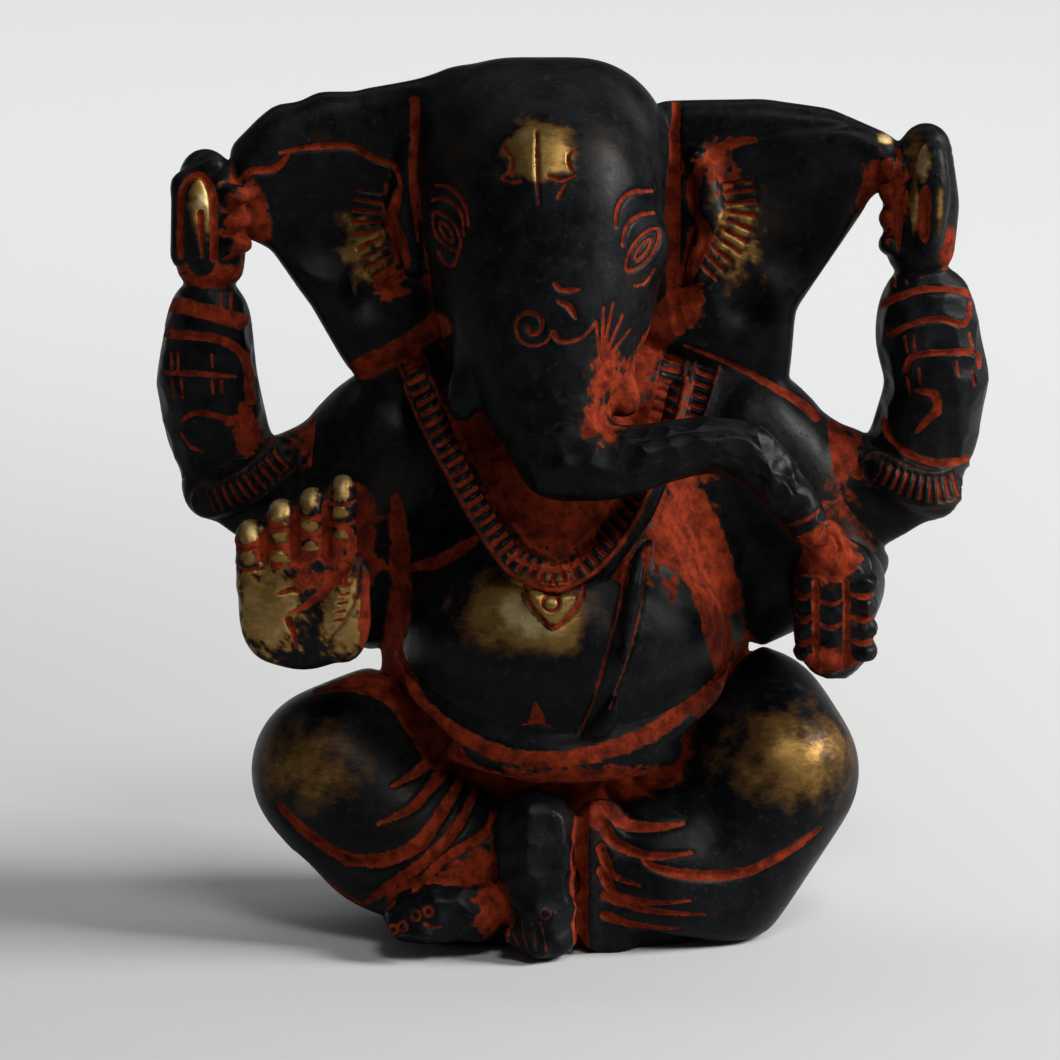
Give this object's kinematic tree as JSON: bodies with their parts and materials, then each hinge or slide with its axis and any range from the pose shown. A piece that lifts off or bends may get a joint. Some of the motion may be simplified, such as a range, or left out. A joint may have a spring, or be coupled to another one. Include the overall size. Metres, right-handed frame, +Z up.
{
  "type": "seated elephant-headed idol",
  "caption": "Seated elephant-headed devotional idol with raised and lowered arms, wide ears, a side-curled trunk, a round belly and crossed legs on a flat underside.",
  "frame": {"origin": "middle of the flat underside the idol stands on", "axes": "+X to the viewer's right when facing the idol, which is the figure's own left; -Y to the front, where the belly and trunk are; +Z up"},
  "size_m": [0.0924, 0.0407, 0.0963],
  "materials": {
    "dark_patina": "blackened cast brass, satin to semi-gloss, red pigment left in the recesses",
    "rubbed_brass": "patina rubbed through to bare yellow brass, pitted, satin",
    "red_pigment": "cast brass under rubbed-in vermilion pigment, matt"
  },
  "bodies": {
    "root": {"seat": "dark_patina", "torso": "dark_patina", "belly": "dark_patina", "waistband": "dark_patina", "sash": "dark_patina", "necklace": "red_pigment", "pendant": "rubbed_brass", "head": "dark_patina", "trunk": "dark_patina", "right_tusk": "dark_patina", "left_tusk": "red_pigment", "right_ear": "dark_patina", "left_ear": "dark_patina", "right_raised_upper_arm": "dark_patina", "left_raised_upper_arm": "dark_patina", "right_front_upper_arm": "dark_patina", "left_front_upper_arm": "dark_patina", "right_raised_forearm": "dark_patina", "left_raised_forearm": "dark_patina", "right_raised_hand": "dark_patina", "left_raised_hand": "dark_patina", "right_emblem": "rubbed_brass", "left_emblem": "rubbed_brass", "right_armlet": "dark_patina", "left_armlet": "dark_patina", "right_front_forearm": "dark_patina", "left_front_forearm": "dark_patina", "right_open_hand": "rubbed_brass", "left_cupped_hand": "dark_patina", "sweet": "red_pigment", "right_leg": "dark_patina", "left_leg": "dark_patina", "right_foot": "dark_patina", "left_foot": "dark_patina", "pleat": "red_pigment"}
  },
  "joints": []
}
